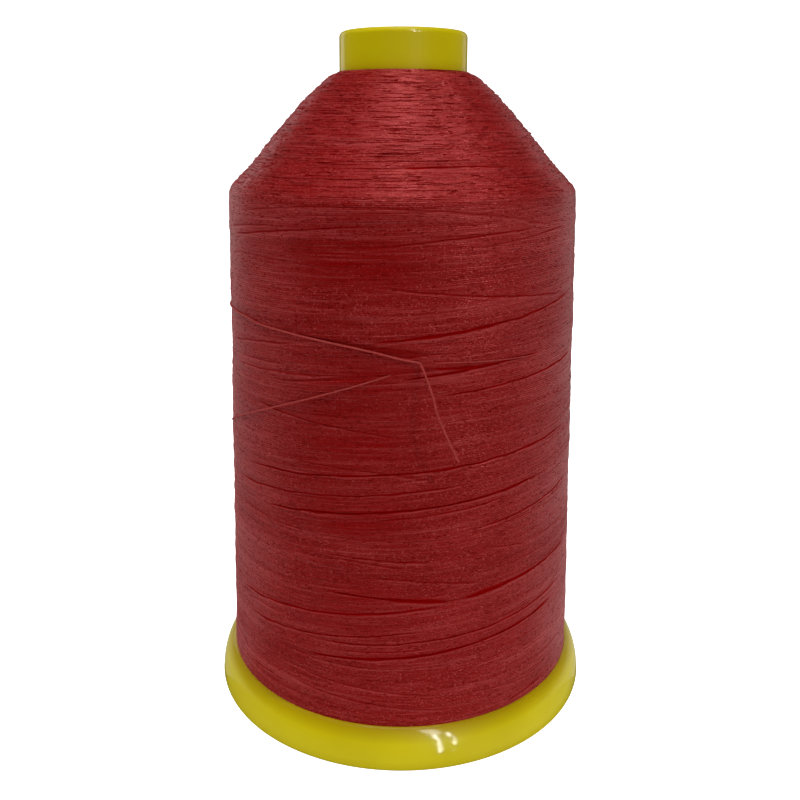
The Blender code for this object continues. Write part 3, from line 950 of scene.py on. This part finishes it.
def off_the_winding(route):
    """Points of a route given as angle, height and lift off the solid winding's even taper."""
    table = np.array(route)
    height = table[:, 1] * MM
    share = (height - WOUND_FOOT_HEIGHT) / (WOUND_SHOULDER_HEIGHT - WOUND_FOOT_HEIGHT)
    radius = WOUND_FOOT_RADIUS + (WOUND_SHOULDER_RADIUS - WOUND_FOOT_RADIUS) * share
    return place_on_turn(radius + table[:, 2] * MM, np.radians(table[:, 0]), height)


def loose_turn_route(row):
    """Points of a single raised turn: the table row's quadratic over the winding's section, lifted by the
    square root of the sine of its share of the way, so it stands clear and dives in at both ends."""
    walked, heights, radii = winding_section()
    share = np.linspace(0.0, 1.0, TURN_POINTS)
    degrees = row[0] + (row[4] - row[0]) * share
    distance = line_height(row, degrees) * MM
    lift = (row[6] * MM + SINK) * np.sqrt(np.sin(np.pi * share)) - SINK
    radius = np.interp(distance, walked, radii) + lift
    return place_on_turn(radius, np.radians(degrees), np.interp(distance, walked, heights))


def add_threads(name, threads, twist_length, material):
    """One piece of several threads, each given as a route, a diameter and the sides of its rings."""
    points, quads, caps, tones = [], [], [], []
    first = 0
    for route, diameter, sides in threads:
        tube, tone = thread_tube(route, diameter, twist_length, sides)
        points.append(tube.reshape(-1, 3))
        tones.append(tone.ravel())
        quads.append(around_and_along(len(route), sides, False) + first)
        caps.append(np.arange(sides)[::-1] + first)
        caps.append(np.arange(sides) + first + (len(route) - 1) * sides)
        first += len(route) * sides
    piece = add_piece(name, np.concatenate(points), np.concatenate(quads), material, caps)
    add_point_values(piece, "ply", np.concatenate(tones))
    return piece


class THREADCONE_OT_loose_end(bpy.types.Operator):
    """Lay the last turn over the winding and let its tail hang from the tuck"""

    bl_idname = "threadcone.loose_end"
    bl_label = "Loose end"

    def execute(self, context):
        settings = context.scene.cone_loose_thread
        route = smooth_route(off_the_winding(LOOSE_END_ROUTE), LOOSE_POINTS)
        material = loose_thread_material(settings, context.scene.cone_winding.gloss_colour)
        piece = add_threads("tail_thread", [(route, settings.diameter, 12)], settings.twist_length, material)
        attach(piece, "root")
        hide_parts("loose_end")
        lit_group("threads").objects.link(piece)
        return {"FINISHED"}


class THREADCONE_OT_loose_turns(bpy.types.Operator):
    """Lay the single turns that stand off the winding"""

    bl_idname = "threadcone.loose_turns"
    bl_label = "Loose turns"

    def execute(self, context):
        turns = [(loose_turn_route(row), row[7] * MM, 8) for row in LOOSE_TURNS]
        material = bpy.data.objects["tail_thread"].data.materials[0]
        twist_length = context.scene.cone_loose_thread.twist_length
        piece = add_threads("loose_turns", turns, twist_length, material)
        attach(piece, "root")
        lit_group("threads").objects.link(piece)
        return {"FINISHED"}


# ---- The spool ----

def quarter_round(centre_radius, centre_height, across, up, start, count, fullness=1.0):
    """Points of a quarter superellipse: the cosine and sine raised to `fullness`, clockwise from `start`."""
    angle = start - np.linspace(0.0, 0.5 * np.pi, count)
    cosine = np.sign(np.cos(angle)) * np.abs(np.cos(angle)) ** fullness
    sine = np.sign(np.sin(angle)) * np.abs(np.sin(angle)) ** fullness
    return np.column_stack((centre_radius + across * cosine, centre_height + up * sine))


def spool_section(settings):
    """The closed section of the spool, radius by height, from the nose down its outside and back up."""
    flange, ledge, top = settings.flange_radius, settings.ledge_radius, settings.height
    bore, ledge_height = settings.bore_radius, settings.ledge_height
    nose_round, foot_round, bore_round = 1.1 * MM, 0.4 * MM, 0.5 * MM
    wall = 2.4 * MM
    rim_foot = 1.4 * MM
    under = ledge_height - wall
    nose_radius = settings.nose_radius - nose_round
    nose = quarter_round(nose_radius, top - nose_round, nose_round, nose_round, 0.5 * np.pi, 9)
    tube = np.array(((settings.nose_radius + 1.05 * MM, ledge_height),))
    rim_reach = flange - 0.15 * MM - ledge
    rim = quarter_round(ledge, rim_foot, rim_reach, ledge_height - rim_foot, 0.5 * np.pi, 28, 1.25)
    foot = quarter_round(flange - foot_round, foot_round, foot_round, foot_round, 0.0, 6)
    underside = np.array(
        (
            (flange - wall, 0.0),
            (flange - wall - 0.6 * MM, 0.3 * ledge_height),
            (ledge - 0.5 * wall, 0.58 * ledge_height),
            (ledge - 1.3 * wall, under),
            (bore + 0.9 * MM, under),
        )
    )
    bore_edge = quarter_round(bore + bore_round, top - bore_round, bore_round, bore_round, np.pi, 5)
    return np.concatenate((nose, tube, rim, foot, underside, bore_edge))


class THREADCONE_OT_spool(bpy.types.Operator):
    """Turn the moulded spool: its section carried round the axis"""

    bl_idname = "threadcone.spool"
    bl_label = "Spool"

    def execute(self, context):
        settings = context.scene.cone_spool
        section = spool_section(settings)[::-1]
        angle = np.linspace(0.0, 2 * np.pi, settings.facets, endpoint=False)
        points = place_on_turn(section[:, :1], angle, section[:, 1:] * np.ones((1, len(angle))))
        quads = around_and_along(len(section), len(angle), True)
        piece = add_piece("spool_moulding", points.reshape(-1, 3), quads, moulded_plastic_material(settings))
        piece.data.set_sharp_from_angle(angle=math.radians(35))
        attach(piece, "root")
        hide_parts("spool")
        lit_group("spool").objects.link(piece)
        return {"FINISHED"}


# ---- The stage ----

def shine_on(thing, surfaces):
    """Let a light or a glowing sheet shine on matt surfaces, on glossy ones, on both or on none."""
    thing.visible_diffuse = surfaces in ("matt", "both")
    thing.visible_glossy = surfaces in ("gloss", "both")


def add_area_light(name, around, above, distance, size, power, surfaces, pieces):
    """A rectangular light at an angle round from the front and above the floor, facing the winding."""
    around, above = math.radians(around), math.radians(above)
    level = math.cos(above)
    outward = Vector((math.sin(around) * level, -math.cos(around) * level, math.sin(above)))
    light = bpy.data.lights.new(name, "AREA")
    light.shape = "RECTANGLE"
    light.size, light.size_y = size
    light.energy = power
    lamp = bpy.data.objects.new(name, light)
    bpy.context.scene.collection.objects.link(lamp)
    facing = outward.to_track_quat("Z", "Y").to_matrix().to_4x4()
    lamp.matrix_world = Matrix.Translation(LIGHTS_AIM + outward * distance) @ facing
    shine_on(lamp, surfaces)
    if pieces != "all":
        lamp.light_linking.receiver_collection = lit_group(pieces)


def add_camera(settings):
    """The camera at the photo's angle: pitched down, rolled a little, and a hair left of the axis."""
    data = bpy.data.cameras.new("camera")
    data.sensor_width = 36.0
    data.lens = settings.lens
    data.clip_start = 0.005
    camera = bpy.data.objects.new("camera", data)
    bpy.context.scene.collection.objects.link(camera)
    place = Matrix.Translation((-settings.camera_aside, -settings.camera_distance, settings.camera_height))
    pitch = Matrix.Rotation(0.5 * math.pi - settings.camera_pitch, 4, "X")
    roll = Matrix.Rotation(settings.camera_roll, 4, "Z")
    camera.matrix_world = place @ pitch @ roll
    bpy.context.scene.camera = camera


def add_glowing_sheet(name, points, colour, glow, surfaces):
    """A sheet of paper from a grid of points, that shines with the strength `glow`. One that shines on no
    surfaces is there to be seen, and the others are unseen."""
    rows, columns = points.shape[:2]
    quads = around_and_along(rows, columns, False).reshape(rows - 1, columns, 4)[:, :-1].reshape(-1, 4)
    paper = Finish(name + "_paper")
    paper.shade(
        Base_Color=colour, Roughness=0.9, Specular_IOR_Level=0.0,
        Emission_Color=WHITE, Emission_Strength=glow,
    )
    sheet = add_piece(name, points.reshape(-1, 3), quads, paper.material)
    shine_on(sheet, surfaces)
    sheet.visible_camera = sheet.visible_shadow = surfaces == "none"


def sweep_points():
    """A floor that curves up into a backdrop: flat, then a quarter circle, then a plain wall."""
    half_width, front, bend_start, bend, top = 2.4, 1.6, 0.9, 0.5, 1.6
    turn = np.linspace(0.0, 0.5 * np.pi, 17)
    along = np.concatenate(((-front,), bend_start + bend * np.sin(turn), (bend_start + bend,)))
    up = np.concatenate(((0.0,), bend * (1.0 - np.cos(turn)), (top,)))
    across = np.array((-half_width, half_width)) * np.ones((len(along), 1))
    return np.stack((across, along[:, None] + 0.0 * across, up[:, None] + 0.0 * across), axis=-1)


def floor_ring(first_deg, last_deg, reach):
    """A part of a flat ring on the floor, from beside the flange out to `reach`, between two angles."""
    around = np.radians(np.linspace(first_deg, last_deg, 43))
    radius = np.array(((SPOOL_HIGH.x + 1.0 * MM,), (reach,)))
    above_floor = 0.2 * MM
    return place_on_turn(radius, around, above_floor + 0.0 * radius * around)


class THREADCONE_OT_stage(bpy.types.Operator):
    """Set up the camera, the pale floor and the studio lights"""

    bl_idname = "threadcone.stage"
    bl_label = "Stage"

    def execute(self, context):
        settings = context.scene.cone_studio
        add_camera(settings)
        add_glowing_sheet("floor_sweep", sweep_points(), settings.floor_colour, FLOOR_GLOW, "none")
        add_glowing_sheet("floor_fill", sweep_points(), BLACK, FILL_GLOW * settings.fill, "matt")
        for name, first, last, reach, glow, surfaces in FLOOR_SHEETS:
            add_glowing_sheet(name, floor_ring(first, last, reach), BLACK, glow * settings.fill, surfaces)
        for name, around, above, distance, size, power, *falls in STUDIO_LIGHTS:
            add_area_light(name, around, above, distance, size, power * settings.light_power, *falls)
        world = bpy.data.worlds.new("studio")
        world.use_nodes = True
        background = world.node_tree.nodes["Background"]
        background.inputs["Color"].default_value = (*WHITE, 1.0)
        background.inputs["Strength"].default_value = 0.02
        context.scene.world = world
        context.scene.view_settings.view_transform = "Standard"
        return {"FINISHED"}


# ---- Panel and registration ----

class THREADCONE_PT_panel(bpy.types.Panel):
    """Lists the pieces of the cone of thread"""

    bl_label = "Cone of thread"
    bl_idname = "THREADCONE_PT_panel"
    bl_space_type = "VIEW_3D"
    bl_region_type = "UI"
    bl_category = "Thread"

    def draw(self, context):
        for label, group, *operators in PANEL_ROWS:
            box = self.layout.box()
            box.label(text=label)
            for name in SETTINGS[group].__annotations__:
                box.prop(getattr(context.scene, group), name)
            for operator in operators:
                box.operator(operator.bl_idname)


SETTINGS = {
    "cone_winding": WindingSettings,
    "cone_spool": SpoolSettings,
    "cone_loose_thread": LooseThreadSettings,
    "cone_studio": StudioSettings,
}
PANEL_ROWS = (
    ("Stage", "cone_studio", THREADCONE_OT_stage),
    ("Loose thread", "cone_loose_thread", THREADCONE_OT_loose_end, THREADCONE_OT_loose_turns),
    ("Winding", "cone_winding", THREADCONE_OT_winding),
    ("Spool", "cone_spool", THREADCONE_OT_spool),
)
OPERATORS = [operator for _label, _group, *operators in PANEL_ROWS for operator in operators]
CLASSES = (*SETTINGS.values(), *OPERATORS, THREADCONE_PT_panel)


def register():
    for part in CLASSES:
        bpy.utils.register_class(part)
    for name, group in SETTINGS.items():
        setattr(bpy.types.Scene, name, PointerProperty(type=group))


def unregister():
    for name in SETTINGS:
        delattr(bpy.types.Scene, name)
    for part in reversed(CLASSES):
        bpy.utils.unregister_class(part)


def main():
    register()
    bpy.ops.threadcone.stage()
    bpy.ops.threadcone.loose_end()
    bpy.ops.threadcone.winding()
    bpy.ops.threadcone.loose_turns()
    bpy.ops.threadcone.spool()


if __name__ == "__main__":
    main()
